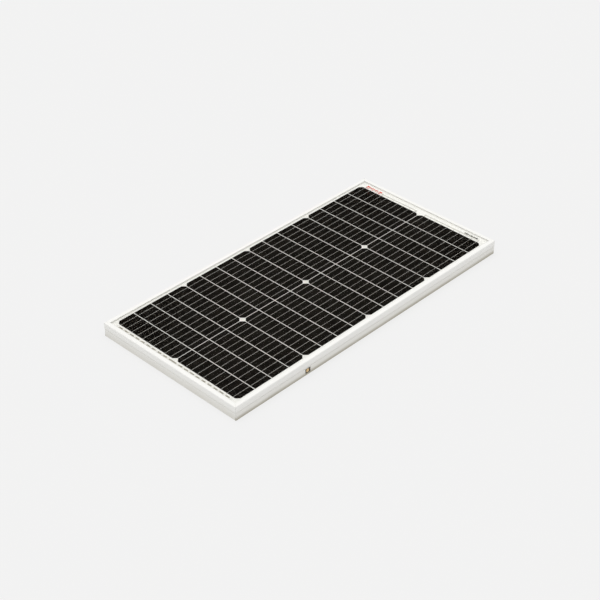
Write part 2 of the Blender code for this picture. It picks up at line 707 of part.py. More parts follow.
def add_glands(nut_material, seal_material):
    """A nut and a cable seal on each spigot. They share one turned outline each."""
    wall_x = BOX_X - BOX_HALF[0]
    inside = NUT_LENGTH - NUT_END_WALL
    hex_end = 7 * MM
    corner = NUT_ACROSS_FLATS / math.sqrt(3)
    dome = NUT_ACROSS_FLATS / 2 - 0.5 * MM
    tip = CABLE_BORE + 2 * MM
    nut_profile = [
        (CABLE_BORE + 0.2 * MM, NUT_LENGTH),
        (tip, NUT_LENGTH),
        (tip + 1.2 * MM, NUT_LENGTH - 0.5 * MM),
        (dome, hex_end + 1.6 * MM),
        (dome, hex_end),
        (corner - 0.5 * MM, hex_end - 0.6 * MM),
        (corner - 0.5 * MM, 0.6 * MM),
        (dome + 0.2 * MM, 0),
        (NUT_BORE, 0),
        (NUT_BORE, inside),
        (CABLE_BORE + 0.2 * MM, inside),
    ]
    seal_start = SPIGOT_LENGTH - NUT_START + 0.3 * MM
    seal_end = inside - 0.2 * MM
    seal_profile = [
        (CABLE_BORE, seal_end),
        (CABLE_SEAL_RADIUS, seal_end),
        (CABLE_SEAL_RADIUS, seal_start),
        (CABLE_BORE, seal_start),
    ]
    for label, side in (("positive", 1), ("negative", -1)):
        place = (wall_x - NUT_START, side * GLAND_Y, GLAND_Z)
        nut = add_turned(f"gland_nut_{label}", nut_profile, place, (-1, 0, 0), nut_material)
        start = Vector(place) + Vector((1 * MM, 0, 0))
        end = Vector(place) - Vector((NUT_LENGTH + 1 * MM, 0, 0))
        flats = add_round(f"nut_flats_{label}", corner, start, end, sides=6)
        combine(nut, flats, "INTERSECT")
        add_turned(f"cable_seal_{label}", seal_profile, place, (-1, 0, 0), seal_material)


def add_terminals(material):
    """A tinned plate under the box's roof for each lead, turned down beside it."""
    length, half_width, thickness = TERMINAL
    top = BOX_TOP - BOX_WALL - 0.2 * MM
    end_x = LEAD_DROP_X - 0.4 * MM
    for label, side in (("positive", 1), ("negative", -1)):
        y = side * TERMINAL_Y
        plate = add_box(f"terminal_{label}", (end_x - length, y - half_width, top - thickness),
                        (end_x, y + half_width, top), material)
        tab = add_box(f"terminal_tab_{label}", (end_x - thickness, y - 2.5 * MM, LEAD_END + 0.5 * MM),
                      (end_x - 0.01 * MM, y + 2.5 * MM, top - 0.1 * MM))
        combine(plate, tab, "UNION")
    return top - thickness


def add_diode(plate_level, material):
    """An axial diode between the terminals, with its wire bent up to both plates."""
    half_span = TERMINAL_Y
    top = plate_level - 0.1 * MM
    bend = 1.2 * MM
    quarter = [(half_span - bend + bend * math.sin(a), DIODE_Z + bend - bend * math.cos(a))
               for a in (math.radians(step * 22.5) for step in range(5))]
    one_side = quarter + [(half_span, top)]
    route = [(-y, z) for y, z in reversed(one_side)] + one_side
    curve = bpy.data.curves.new("diode_wire", "CURVE")
    curve.dimensions = "3D"
    curve.bevel_depth = DIODE_LEAD_RADIUS
    curve.bevel_resolution = 2
    curve.use_fill_caps = True
    spline = curve.splines.new("POLY")
    spline.points.add(len(route) - 1)
    for point, (y, z) in zip(spline.points, route):
        point.co = (DIODE_X, y, z, 1)
    wire = bpy.data.objects.new("diode_wire", curve)
    bpy.context.scene.collection.objects.link(wire)
    graph = bpy.context.evaluated_depsgraph_get()
    raw = bpy.data.meshes.new_from_object(wire.evaluated_get(graph))
    bpy.data.objects.remove(wire)
    builder = bmesh.new()
    builder.from_mesh(raw)
    bpy.data.meshes.remove(raw)
    bmesh.ops.remove_doubles(builder, verts=builder.verts, dist=0.002 * MM)
    lead = add_object("diode_lead", finish_mesh(builder, "diode_lead"))
    diode = add_round("bypass_diode", DIODE_RADIUS, (DIODE_X, -DIODE_HALF, DIODE_Z),
                      (DIODE_X, DIODE_HALF, DIODE_Z), material, sides=24)
    combine(diode, lead, "UNION")


# ---------------------------------------------------------------- assembly

clear_scene()
PANEL = make_collection("solar_panel")
CUTTERS = make_collection("cutters")

frame_white = make_material("frame_white", (0.87, 0.87, 0.85), 0.4)
key_aluminium = make_material("key_aluminium", (0.72, 0.73, 0.74), 0.45, metallic=1.0)
clear_glass = make_material("clear_glass", (0.9, 0.95, 0.93), 0.08, alpha=0.25)
clear_film = make_material("clear_film", (0.95, 0.95, 0.92), 0.3, alpha=0.3)
cell_silicon = make_material("cell_silicon", (0.012, 0.011, 0.01), 0.25)
tinned_copper = make_material("tinned_copper", (0.75, 0.74, 0.7), 0.35, metallic=1.0)
backsheet_white = make_material("backsheet_white", (0.93, 0.93, 0.92), 0.5)
silicone_white = make_material("silicone_white", (0.82, 0.82, 0.8), 0.6)
box_black = make_material("box_black", (0.02, 0.02, 0.021), 0.45)
seal_rubber = make_material("seal_rubber", (0.03, 0.03, 0.03), 0.75)
diode_black = make_material("diode_black", (0.03, 0.03, 0.03), 0.3)
earth_brass = make_material("earth_brass", (0.78, 0.6, 0.3), 0.3, metallic=1.0)

front_rail = add_long_rails(frame_white)
add_end_rails(frame_white)
add_earthing_screw(cut_earthing_window(front_rail), earth_brass)
add_corner_keys(key_aluminium)

add_sheet("cover_glass", GLASS_BOTTOM, GLASS_TOP, clear_glass)
add_sheet("encapsulant_front", FRONT_FILM_BOTTOM, GLASS_BOTTOM - LAYER_GAP, clear_film)
rear_film = add_sheet("encapsulant_rear", REAR_FILM_BOTTOM, REAR_FILM_TOP, clear_film)
backsheet = add_sheet("backsheet", BACKSHEET_BOTTOM, BACKSHEET_TOP, backsheet_white)
cut_lead_paths(rear_film, backsheet)
add_edge_seal(silicone_white)
add_cells(cell_silicon)
add_cross_ribbon(tinned_copper)
add_lead_ribbon("bus_ribbon_positive", 1, tinned_copper)
add_lead_ribbon("bus_ribbon_negative", -1, tinned_copper)

box_slab("junction_box_adhesive", [2 * MM, 7 * MM], BOX_TOP + 2 * LAYER_GAP,
         BACKSHEET_BOTTOM - 2 * LAYER_GAP, silicone_white)
add_box_base(box_black)
add_lid(box_black, seal_rubber)
add_glands(box_black, seal_rubber)
plate_underside = add_terminals(tinned_copper)
add_diode(plate_underside, diode_black)
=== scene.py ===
"""The solar panel's looks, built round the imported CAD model.

Metres, in the CAD model's own frame: X along the long side, Y across it, Z up out of the glass.
"""

import math

import bmesh
import bpy
from mathutils import Matrix, Quaternion, Vector


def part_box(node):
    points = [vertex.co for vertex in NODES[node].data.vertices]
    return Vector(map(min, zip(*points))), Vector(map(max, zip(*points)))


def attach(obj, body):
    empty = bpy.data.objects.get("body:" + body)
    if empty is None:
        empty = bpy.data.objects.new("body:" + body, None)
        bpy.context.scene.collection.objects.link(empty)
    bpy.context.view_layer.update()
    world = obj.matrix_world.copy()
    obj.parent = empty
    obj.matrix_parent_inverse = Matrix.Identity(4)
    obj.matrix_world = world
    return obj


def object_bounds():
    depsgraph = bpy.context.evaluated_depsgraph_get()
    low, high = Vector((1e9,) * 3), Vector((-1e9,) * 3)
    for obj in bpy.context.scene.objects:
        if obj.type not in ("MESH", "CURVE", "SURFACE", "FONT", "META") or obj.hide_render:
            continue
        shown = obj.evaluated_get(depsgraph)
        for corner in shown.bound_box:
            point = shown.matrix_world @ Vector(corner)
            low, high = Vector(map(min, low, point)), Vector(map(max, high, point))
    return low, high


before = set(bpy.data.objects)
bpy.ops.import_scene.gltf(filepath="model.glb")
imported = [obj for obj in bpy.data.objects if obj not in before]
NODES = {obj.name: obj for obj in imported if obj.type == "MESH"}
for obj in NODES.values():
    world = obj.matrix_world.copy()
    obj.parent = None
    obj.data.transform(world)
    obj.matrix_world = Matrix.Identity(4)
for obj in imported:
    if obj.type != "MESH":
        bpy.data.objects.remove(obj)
cad_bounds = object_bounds()

MM = 0.001

# ---- The cells' wires ----
WAFER_WIDTH = 182 * MM
WIRES = 10
WIRE_PITCH = 17.25 * MM
WIRE_WIDTH = 0.7 * MM
WIRE_THICKNESS = 0.10 * MM
WIRE_LIFT = 0.01 * MM  # clear of the strip it lies on
WIRE_DROP = 0.02 * MM  # clear of the strip it passes under
WIRE_SETBACK = 0.9 * MM  # bare silicon between a strip's edge and the start of its wires
PAD_LENGTH = 1.3 * MM
PAD_WIDTH = 1.0 * MM
PAD_THICKNESS = 0.02 * MM
PADS_PER_WIRE = 4
STRIPS = 16
FINGER_PITCH = 1.35 * MM
FINGER_SHARE = 0.045

# ---- Marks on the margin at the right end, as places in from the frame's outer faces ----
MARK_ALONG = (27.5 * MM, 74.5 * MM)
MARK_ACROSS = (16.7 * MM, 26.2 * MM)
LABEL_ALONG = (31.5 * MM, 74.5 * MM)
LABEL_ACROSS = (15.6 * MM, 24.8 * MM)
MARK_THICKNESS = 0.05 * MM
MARK_BARS = 7
MARK_BAR_HEIGHTS = (0.75, 1.0, 0.65)  # as shares of the mark's height, in turn
LABEL_BARS = ((5.5, 2.0, 3.5), (6.5, 3.0), (2.5, 4.5, 3.0))  # widths by group, in millimetres
LABEL_BAR_GAP = 0.7 * MM
LABEL_BAR_HEIGHT = 0.85  # as a share of the label's height
LABEL_END = 2.5 * MM  # blank paper at each end of the label

# ---- Laminate, as seen through the glass ----
FIELD_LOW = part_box("cell_b01")[0]
FIELD_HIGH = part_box("cell_a16")[1]
CELL_FIELD_HALF = ((FIELD_HIGH.x - FIELD_LOW.x) / 2, (FIELD_HIGH.y - FIELD_LOW.y) / 2)
CELL_FIELD_MIDDLE = ((FIELD_HIGH.x + FIELD_LOW.x) / 2, 0.0)
LIP_WIDTH = 9.5 * MM
LIP_OPENING_HALF = (cad_bounds[1][0] - LIP_WIDTH, cad_bounds[1][1] - LIP_WIDTH)
LIP_GLOW = 0.12
MARGIN_GLOW = 0.05
WEAVE_WAVES = 2400.0  # radians of weave for each metre of backsheet
LEFT_SHADE_X = -400 * MM  # where the backsheet is darkest, as painted shade
RIGHT_LIGHT_X = 380 * MM  # and where it is lightest, as painted light

# ---- Frame and glass ----
WALL_SHADE_TOP = 28 * MM  # painted shade darkens the walls from the foot up to here
# painted shade at the foot of the long rails' outer walls reaches up to here
FOOT_SHADE_TOP = 10 * MM
WALL_DEPTH = 2.4 * MM  # the outer walls, with their step, lie within this of the outer faces
COAT_IOR = 1.25
COAT_CLEAR_BELOW = 0.06  # the anti-reflective coat cancels a mirrored share up to this

# ---- Raised plus and minus on the junction box ----
SIGN_HALF_LENGTH = 2.2 * MM
SIGN_HALF_WIDTH = 0.6 * MM
SIGN_FROM_GLAND = (14.8 * MM, 13.5 * MM)  # along X from the gland's tip, and out from its middle

# ---- Camera ----
CAMERA_AIM = Vector((-0.0624, -0.0396, 0.0333))
CAMERA_AZIMUTH = math.radians(-45.49)
CAMERA_ELEVATION = math.radians(35.70)
CAMERA_ROLL = math.radians(-0.48)
CAMERA_DISTANCE = 3.0445
CAMERA_LENS = 85.77


# ---------------------------------------------------------------- node helpers


class Tree:
    """A material's node tree, with a short way to add and link nodes."""

    def __init__(self, name):
        self.material = bpy.data.materials.new(name)
        self.material.use_nodes = True
        self.nodes = self.material.node_tree.nodes
        self.links = self.material.node_tree.links
        self.shader = self.nodes["Principled BSDF"]
        self.output = self.nodes["Material Output"]

    def node(self, kind, settings=None, inputs=None):
        new = self.nodes.new(kind)
        for key, value in (settings or {}).items():
            setattr(new, key, value)
        for key, value in (inputs or {}).items():
            self.feed(new.inputs[key], value)
        return new

    def feed(self, socket, value):
        if isinstance(value, bpy.types.NodeSocket):
            self.links.new(value, socket)
        else:
            socket.default_value = value

    def place(self):
        return self.node("ShaderNodeTexCoord").outputs["Object"]

    def noise(self, scale, detail=3.0, roughness=0.55, place=None):
        """Noise between 0 and 1. The scale is in blotches per metre."""
        settings = {"noise_dimensions": "3D"}
        inputs = {"Scale": scale, "Detail": detail, "Roughness": roughness,
                  "Vector": place or self.place()}
        return self.node("ShaderNodeTexNoise", settings, inputs).outputs["Fac"]

    def stretched(self, scales):
        """Object coordinates, scaled by a different amount along each axis."""
        inputs = {"Vector": self.place(), "Scale": scales}
        return self.node("ShaderNodeMapping", None, inputs).outputs["Vector"]

    def math(self, operation, first, second=0.0, third=None, clamp=False):
        new = self.node("ShaderNodeMath", {"operation": operation, "use_clamp": clamp})
        self.feed(new.inputs[0], first)
        self.feed(new.inputs[1], second)
        if third is not None:
            self.feed(new.inputs[2], third)
        return new.outputs[0]

    def remap(self, value, low, high, to_low, to_high):
        inputs = {"Value": value, "From Min": low, "From Max": high,
                  "To Min": to_low, "To Max": to_high}
        return self.node("ShaderNodeMapRange", None, inputs).outputs["Result"]

    def blend(self, factor, first, second):
        """Two colours mixed by a factor."""
        new = self.node("ShaderNodeMix", {"data_type": "RGBA"}, {"Factor": factor})
        self.feed(new.inputs[6], first)
        self.feed(new.inputs[7], second)
        return new.outputs[2]

    def axis(self, name):
        split = self.node("ShaderNodeSeparateXYZ", None, {"Vector": self.place()})
        return split.outputs[name]

    def within(self, half, middle=(0.0, 0.0)):
        """1 inside a rectangle about a middle point, and 0 outside it."""
        sides = []
        for name, reach, centre in zip("XY", half, middle):
            offset = self.math("ABSOLUTE", self.math("SUBTRACT", self.axis(name), centre))
            sides.append(self.math("LESS_THAN", offset, reach))
        return self.math("MULTIPLY", *sides)

    def long_walls(self):
        """1 on the outer walls of the two long rails, and 0 elsewhere."""
        reach = self.math("ABSOLUTE", self.axis("Y"))
        return self.math("GREATER_THAN", reach, cad_bounds[1][1] - WALL_DEPTH)

    def bump(self, height, strength, distance):
        inputs = {"Height": height, "Strength": strength, "Distance": distance}
        return self.node("ShaderNodeBump", None, inputs).outputs["Normal"]

    def principled(self, **inputs):
        """Sets the shader's sockets. An underscore stands for a space in a socket's name."""
        for key, value in inputs.items():
            self.feed(self.shader.inputs[key.replace("_", " ")], value)
        return self.material


def colour(red, green, blue):
    return (red, green, blue, 1.0)


# ---------------------------------------------------------------- materials


def coated_frame():
    """Warm white powder coat: orange peel and faint draw lines along the rails.

    Painted shade darkens the walls towards the bottom, and the long rails' outer walls get more
    painted shade at the foot.
    """
    tree = Tree("frame_coat")
    blotch = tree.noise(14.0, 4.0)
    speck = tree.noise(1500.0, 2.0)
    white = tree.blend(blotch, colour(0.82, 0.815, 0.79), colour(0.86, 0.858, 0.838))
    dusty = tree.blend(tree.remap(speck, 0.64, 0.8, 0.0, 0.2), white, colour(0.74, 0.73, 0.69))
    # painted shade: the walls darker towards the bottom, in patches
    low = tree.remap(tree.axis("Z"), 0.0, WALL_SHADE_TOP, 1.0, 0.0)
    wall_shade = tree.math("MULTIPLY", low, tree.remap(blotch, 0.3, 0.7, 0.62, 0.82))
    wall_shaded = tree.blend(wall_shade, dusty, colour(0.60, 0.58, 0.52))
    # painted shade at the foot, only on the long rails' outer walls
    foot = tree.remap(tree.axis("Z"), 0.0, FOOT_SHADE_TOP, 1.0, 0.0)
    patchy = tree.math("MULTIPLY", foot, tree.remap(blotch, 0.3, 0.7, 0.85, 1.0))
    darkening = tree.math("MULTIPLY", patchy, tree.long_walls())
    shade = tree.blend(darkening, wall_shaded, colour(0.29, 0.262, 0.185))
    peel = tree.noise(900.0, 2.0)
    drawn = tree.noise(1.0, 2.0, place=tree.stretched((12.0, 12.0, 700.0)))
    height = tree.math("MULTIPLY_ADD", drawn, 0.4, peel)
    return tree.principled(
        Base_Color=shade,
        Roughness=tree.remap(blotch, 0.3, 0.7, 0.36, 0.5),
        Specular_IOR_Level=0.45,
        Normal=tree.bump(height, 0.10, 0.12 * MM),
    )


def cover_glass():
    """Low-iron glass with an anti-reflective coat. Its fine rolled texture blurs what it mirrors.

    It bends what is seen through it. Shadow rays and light that has bounced pass straight through.
    """
    tree = Tree("rolled_glass")
    rolled = tree.noise(700.0, 2.0)
    smear = tree.noise(9.0, 4.0)
    normal = tree.bump(rolled, 0.12, 0.1 * MM)
    clear = tree.node("ShaderNodeBsdfTransparent", None, {"Color": colour(0.994, 0.994, 0.99)})
    inputs = {"Color": colour(0.994, 0.994, 0.99), "Roughness": 0.0, "IOR": 1.5}
    bent = tree.node("ShaderNodeBsdfRefraction", None, inputs)
    path = tree.node("ShaderNodeLightPath")
    bounced = tree.math("MAXIMUM", path.outputs["Is Diffuse Ray"], path.outputs["Is Glossy Ray"])
    straight = tree.math("MAXIMUM", path.outputs["Is Shadow Ray"], bounced)
    inputs = {0: straight, 1: bent.outputs[0], 2: clear.outputs[0]}
    body = tree.node("ShaderNodeMixShader", None, inputs)
    inputs = {"Color": colour(1.0, 0.985, 0.955), "Normal": normal,
              "Roughness": tree.remap(smear, 0.3, 0.7, 0.16, 0.26)}
    mirror = tree.node("ShaderNodeBsdfAnisotropic", None, inputs)
    fresnel = tree.node("ShaderNodeFresnel", None, {"IOR": COAT_IOR, "Normal": normal})
    share = tree.remap(fresnel.outputs[0], COAT_CLEAR_BELOW, 1.0, 0.0, 1.0)
    inputs = {0: share, 1: body.outputs[0], 2: mirror.outputs[0]}
    mix = tree.node("ShaderNodeMixShader", None, inputs)
    tree.feed(tree.output.inputs["Surface"], mix.outputs[0])
    return tree.material


def clear_film():
    """Cured encapsulant: clear, with a trace of haze that comes and goes."""
    tree = Tree("cured_film")
    haze = tree.remap(tree.noise(30.0, 4.0), 0.3, 0.7, 0.0002, 0.0012)
    clear = tree.node("ShaderNodeBsdfTransparent", None, {"Color": colour(0.998, 0.998, 0.996)})
    tree.principled(Base_Color=tree.blend(haze, colour(0.8, 0.8, 0.76), colour(0.7, 0.7, 0.62)),
                    Roughness=0.5, Specular_IOR_Level=0.1)
    inputs = {0: haze, 1: clear.outputs[0], 2: tree.shader.outputs[0]}
    mix = tree.node("ShaderNodeMixShader", None, inputs)
    tree.feed(tree.output.inputs["Surface"], mix.outputs[0])
    return tree.material


def silicon():
    """Textured black silicon with fine printed fingers across the wires."""
    tree = Tree("silicon")
    cloud = tree.noise(7.0, 3.0)
    grain = tree.noise(5200.0, 2.0)
    dark = tree.blend(cloud, colour(0.0060, 0.0047, 0.0033), colour(0.0072, 0.0060, 0.0046))
    grained = tree.blend(tree.remap(grain, 0.35, 0.7, 0.0, 0.5), dark, colour(0.0086, 0.0072, 0.0056))
    phase = tree.math("DIVIDE", tree.axis("X"), FINGER_PITCH)
    finger = tree.math("LESS_THAN", tree.math("FRACT", phase), FINGER_SHARE)
    printed = tree.blend(tree.math("MULTIPLY", finger, 0.6), grained, colour(0.05, 0.048, 0.046))
    return tree.principled(
        Base_Color=printed,
        Roughness=tree.remap(grain, 0.3, 0.7, 0.26, 0.36),
        Specular_IOR_Level=0.025,
        Normal=tree.bump(grain, 0.1, 0.02 * MM),
    )


def tin(name, dull, bright, metallic):
    """Tinned copper, with patches where the solder has flowed."""
    tree = Tree(name)
    flow = tree.noise(260.0, 4.0)
    fine = tree.noise(2400.0, 2.0)
    return tree.principled(
        Base_Color=tree.blend(tree.remap(flow, 0.3, 0.7, 0.0, 1.0), dull, bright),
        Metallic=metallic,
        Roughness=tree.remap(flow, 0.3, 0.7, 0.32, 0.5),
        Normal=tree.bump(fine, 0.25, 0.03 * MM),
    )


def white_backsheet():
    """White laminated sheet with the faint print of the weave it was pressed on.

    It is darker towards the left end and lighter towards the right end, as painted shade and
    light, and darker between the cells, as painted shade. It gives off a little light in the
    margin, and more under the frame's lip, to stand for light carried by the glass.
    """
    tree = Tree("white_sheet")
    cloud = tree.noise(11.0, 4.0)
    threads_x = tree.math("SINE", tree.math("MULTIPLY", tree.axis("X"), WEAVE_WAVES))
    threads_y = tree.math("SINE", tree.math("MULTIPLY", tree.axis("Y"), WEAVE_WAVES))
    weave = tree.math("MULTIPLY", threads_x, threads_y)
    # painted shade and light: the sheet darker towards the left end and lighter towards the right
    left_end_shaded = tree.blend(cloud, colour(0.845, 0.843, 0.833), colour(0.865, 0.863, 0.853))
    right_end_lit = tree.blend(cloud, colour(0.885, 0.883, 0.875), colour(0.9, 0.898, 0.89))
    end_to_end_shading = tree.blend(tree.remap(tree.axis("X"), LEFT_SHADE_X, RIGHT_LIGHT_X, 0.0, 1.0), left_end_shaded, right_end_lit)
    # painted shade: the sheet is darker between the cells
    shaded = tree.blend(cloud, colour(0.84, 0.835, 0.82), colour(0.87, 0.865, 0.85))
    tree.material.cycles.emission_sampling = "NONE"
    inside = tree.within(CELL_FIELD_HALF, CELL_FIELD_MIDDLE)
    margin_glow = tree.remap(inside, 0.0, 1.0, MARGIN_GLOW, 0.0)
    open_part = tree.within(LIP_OPENING_HALF)
    return tree.principled(
        Base_Color=tree.blend(inside, end_to_end_shading, shaded),
        Emission_Color=colour(1.0, 0.99, 0.96),
        Emission_Strength=tree.remap(open_part, 0.0, 1.0, LIP_GLOW, margin_glow),
        Roughness=tree.remap(cloud, 0.3, 0.7, 0.42, 0.58),
        Specular_IOR_Level=0.3,
        Normal=tree.bump(weave, 0.08, 0.05 * MM),
    )


def silicone():
    """Cured white sealant with a skin that is uneven to the touch."""
    tree = Tree("silicone")
    skin = tree.noise(420.0, 4.0)
    return tree.principled(
        Base_Color=tree.blend(skin, colour(0.74, 0.735, 0.71), colour(0.84, 0.835, 0.81)),
        Roughness=tree.remap(skin, 0.3, 0.7, 0.45, 0.65),
        Normal=tree.bump(skin, 0.4, 0.3 * MM),
    )


def moulded(name, dark, light, scale, roughness):
    """Moulded black plastic or rubber: spark-eroded grain, and paler where it has been rubbed."""
    tree = Tree(name)
    grain = tree.noise(scale, 3.0)
    rubbed = tree.noise(55.0, 5.0)
    return tree.principled(
        Base_Color=tree.blend(tree.remap(rubbed, 0.45, 0.75, 0.0, 1.0), dark, light),
        Roughness=tree.remap(rubbed, 0.3, 0.7, roughness, roughness + 0.16),
        Specular_IOR_Level=0.4,
        Normal=tree.bump(grain, 0.35, 0.06 * MM),
    )


def extruded_metal():
    """Bare aluminium with the long lines that its extrusion die left."""
    tree = Tree("mill_aluminium")
    drawn = tree.noise(1.0, 3.0, place=tree.stretched((40.0, 40.0, 1800.0)))
    return tree.principled(
        Base_Color=tree.blend(drawn, colour(0.58, 0.59, 0.60), colour(0.72, 0.73, 0.74)),
        Metallic=1.0,
        Roughness=tree.remap(drawn, 0.3, 0.7, 0.35, 0.5),
        Normal=tree.bump(drawn, 0.2, 0.05 * MM),
    )


def brass():
    """Plated screw: warm yellow with patches of brown stain and fine turning marks."""
    tree = Tree("screw_brass")
    darkening = tree.noise(420.0, 4.0)
    turned = tree.noise(3000.0, 2.0)
    return tree.principled(
        Base_Color=tree.blend(tree.remap(darkening, 0.4, 0.7, 0.0, 1.0), colour(0.80, 0.60, 0.34),
                              colour(0.44, 0.29, 0.14)),
        Metallic=0.9,
        Roughness=tree.remap(darkening, 0.3, 0.7, 0.24, 0.44),
        Normal=tree.bump(turned, 0.3, 0.03 * MM),
    )


def printed(name, ink, worn):
    """Screen-printed ink, thinner in small patches."""
    tree = Tree(name)
    patch = tree.noise(900.0, 3.0)
    return tree.principled(
        Base_Color=tree.blend(tree.remap(patch, 0.4, 0.7, 0.0, 1.0), ink, worn),
        Roughness=tree.remap(patch, 0.3, 0.7, 0.4, 0.55),
    )


def floor_paper():
    """Pale seamless paper. Part of its brightness is its own, so that shadows stay faint."""
    tree = Tree("floor_paper")
    fibre = tree.noise(60.0, 3.0)
    tree.principled(
        Base_Color=tree.blend(fibre, colour(0.15, 0.15, 0.15), colour(0.153, 0.153, 0.153)),
        Roughness=0.9,
        Specular_IOR_Level=0.0,
        Emission_Color=colour(1.0, 1.0, 1.0),
        Emission_Strength=0.715,
    )
    return tree.material


# ---------------------------------------------------------------- mesh helpers


def finish_mesh(builder, name):
    bmesh.ops.recalc_face_normals(builder, faces=builder.faces)
    mesh = bpy.data.meshes.new(name)
    builder.to_mesh(mesh)
    builder.free()
    return mesh


def add_piece(name, mesh, material, body, location=(0, 0, 0)):
    piece = bpy.data.objects.new(name, mesh)
    bpy.context.scene.collection.objects.link(piece)
    if not mesh.materials:
        mesh.materials.append(material)
    piece.location = location
    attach(piece, body)
    return piece


def block(builder, low, high):
    low, high = Vector(low), Vector(high)
    place = Matrix.Translation((low + high) / 2) @ Matrix.Diagonal((*(high - low), 1))
    bmesh.ops.create_cube(builder, size=1, matrix=place)


def ribbon(builder, route, y, width, thickness):
    """A flat strip that follows a route of X and Z points, with its thickness above the route."""
    rings = []
    for x, z in route:
        corners = ((-1, 0), (1, 0), (1, 1), (-1, 1))
        rings.append([
            builder.verts.new((x, y + side * width / 2, z + up * thickness)) for side, up in corners
        ])
    for first, second in zip(rings, rings[1:]):
        for i in range(4):
            j = (i + 1) % 4
            builder.faces.new((first[i], first[j], second[j], second[i]))
    builder.faces.new(rings[0])
    builder.faces.new(rings[-1])


def rounded_plate(builder, centre, size, thickness, radius, steps=4, slant=0.0):
    """A flat plate with round corners. Slant shears it along Y by this much of its X size."""
    half_x, half_y = size[0] / 2, size[1] / 2
    radius = min(radius, half_x, half_y)
    points = []
    for side_x, side_y, start in ((1, 1, 0), (-1, 1, 90), (-1, -1, 180), (1, -1, 270)):
        for step in range(steps + 1):
            angle = math.radians(start + 90 * step / steps)
            x = side_x * (half_x - radius) + radius * math.cos(angle)
            y = side_y * (half_y - radius) + radius * math.sin(angle) + slant * x
            points.append((centre[0] + x, centre[1] + y))
    base = [builder.verts.new((x, y, centre[2])) for x, y in points]
    top = [builder.verts.new((x, y, centre[2] + thickness)) for x, y in points]
    builder.faces.new(list(reversed(base)))
    builder.faces.new(top)
    count = len(points)
    for i in range(count):
        j = (i + 1) % count
        builder.faces.new((base[i], base[j], top[j], top[i]))


def dress(material, *names):
    """Gives CAD nodes a material. A name that ends in an underscore stands for all that begin so."""
    for name, node in NODES.items():
        if any(name == n or (n.endswith("_") and name.startswith(n)) for n in names):
            node.data.materials.clear()
            node.data.materials.append(material)


# ---------------------------------------------------------------- cells and ribbons


def wire_rows(low):
    """The Y places of a strip's wires, for a strip whose lowest Y is this."""
    first = (WAFER_WIDTH - (WIRES - 1) * WIRE_PITCH) / 2
    return [low + first + number * WIRE_PITCH for number in range(WIRES)]


def strip_wires(name, is_last):
    """The wires on one strip. Each dips through the gap and ends under the next strip."""
    low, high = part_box(name)
    top = high.z + WIRE_LIFT
    under = low.z - WIRE_THICKNESS - WIRE_DROP
    start = low.x + WIRE_SETBACK
    if is_last:
        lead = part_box("bus_ribbon_positive")[1].x
        route = [(start, top), (lead - 0.4 * MM, top)]
    else:
        route = [(start, top), (high.x - 0.25 * MM, top), (high.x + 0.35 * MM, top - 0.06 * MM),
                 (high.x + 1.65 * MM, under + 0.04 * MM), (high.x + 2.3 * MM, under),
                 (high.x + 4 * MM, under)]
    builder = bmesh.new()
    for y in wire_rows(low.y):
        ribbon(builder, route, y, WIRE_WIDTH, WIRE_THICKNESS)
    return finish_mesh(builder, "wires")


def strip_pads(name):
    """The silver pads that each wire is soldered to, evenly along it."""
    low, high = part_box(name)
    span = high.x - low.x
    builder = bmesh.new()
    for y in wire_rows(low.y):
        for number in range(PADS_PER_WIRE):
            x = low.x + span * (number + 0.5) / PADS_PER_WIRE
            rounded_plate(builder, (x, y, high.z + 0.004 * MM), (PAD_LENGTH, PAD_WIDTH),
                          PAD_THICKNESS, 0.4 * MM, steps=2)
    return finish_mesh(builder, "pads")


def add_wires(wire_tin, pad_silver):
    for row in "ab":
        for number in range(1, STRIPS + 1):
            name = f"cell_{row}{number:02d}"
            wires = strip_wires(name, number == STRIPS)
            add_piece(f"wires_{row}{number:02d}", wires, wire_tin, "panel")
            pads = strip_pads(name)
            add_piece(f"pads_{row}{number:02d}", pads, pad_silver, "panel")


def add_first_wires(solder):
    """The wires from under the first strips to the cross-connector, with a solder joint on each."""
    ribbon_low, ribbon_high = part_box("bus_ribbon_cross")
    top = ribbon_high.z + 0.005 * MM
    builder = bmesh.new()
    for row in "ab":
        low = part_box(f"cell_{row}01")[0]
        under = low.z - WIRE_THICKNESS - WIRE_DROP
        route = [(ribbon_low.x + 0.3 * MM, top), (ribbon_high.x + 0.4 * MM, top),
                 (low.x - 0.5 * MM, under), (low.x + 2 * MM, under)]
        for y in wire_rows(low.y):
            ribbon(builder, route, y, WIRE_WIDTH, WIRE_THICKNESS)
            middle = ((ribbon_low.x + ribbon_high.x) / 2, y, ribbon_high.z + 0.003 * MM)
            rounded_plate(builder, middle, (3.9 * MM, 6.2 * MM), 0.05 * MM, 1.2 * MM)
    add_piece("cross_joints", finish_mesh(builder, "cross_joints"), solder, "panel")


# ---------------------------------------------------------------- marks


def right_margin(along, across, side):
    """The middle and size of a mark on the right margin, from its distances to the outer faces."""
    high = Vector(cad_bounds[1])
    x = high.x - sum(across) / 2
    y = side * (high.y - sum(along) / 2)
    return Vector((x, y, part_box("cell_a01")[0].z)), (across[1] - across[0], along[1] - along[0])


def add_maker_mark(ink):
    """A generic red device: two rounded squares, with slanted bars of three lengths between them."""
    middle, (height, length) = right_margin(MARK_ALONG, MARK_ACROSS, 1)
    builder = bmesh.new()
    for end in (-1, 1):
        centre = middle + Vector((0, end * (length - height) / 2, 0))
        rounded_plate(builder, centre, (height, height), MARK_THICKNESS, 1.6 * MM)
    room = length - 2 * height - 3 * MM
    for number in range(MARK_BARS):
        share = MARK_BAR_HEIGHTS[number % len(MARK_BAR_HEIGHTS)]
        y = middle.y - room / 2 + room * (number + 0.5) / MARK_BARS
        size = (height * share, room / MARK_BARS * 0.82)
        rounded_plate(builder, (middle.x, y, middle.z), size, MARK_THICKNESS, 0.5 * MM,
                      steps=2, slant=0.25)
    add_piece("maker_mark", finish_mesh(builder, "maker_mark"), ink, "panel")


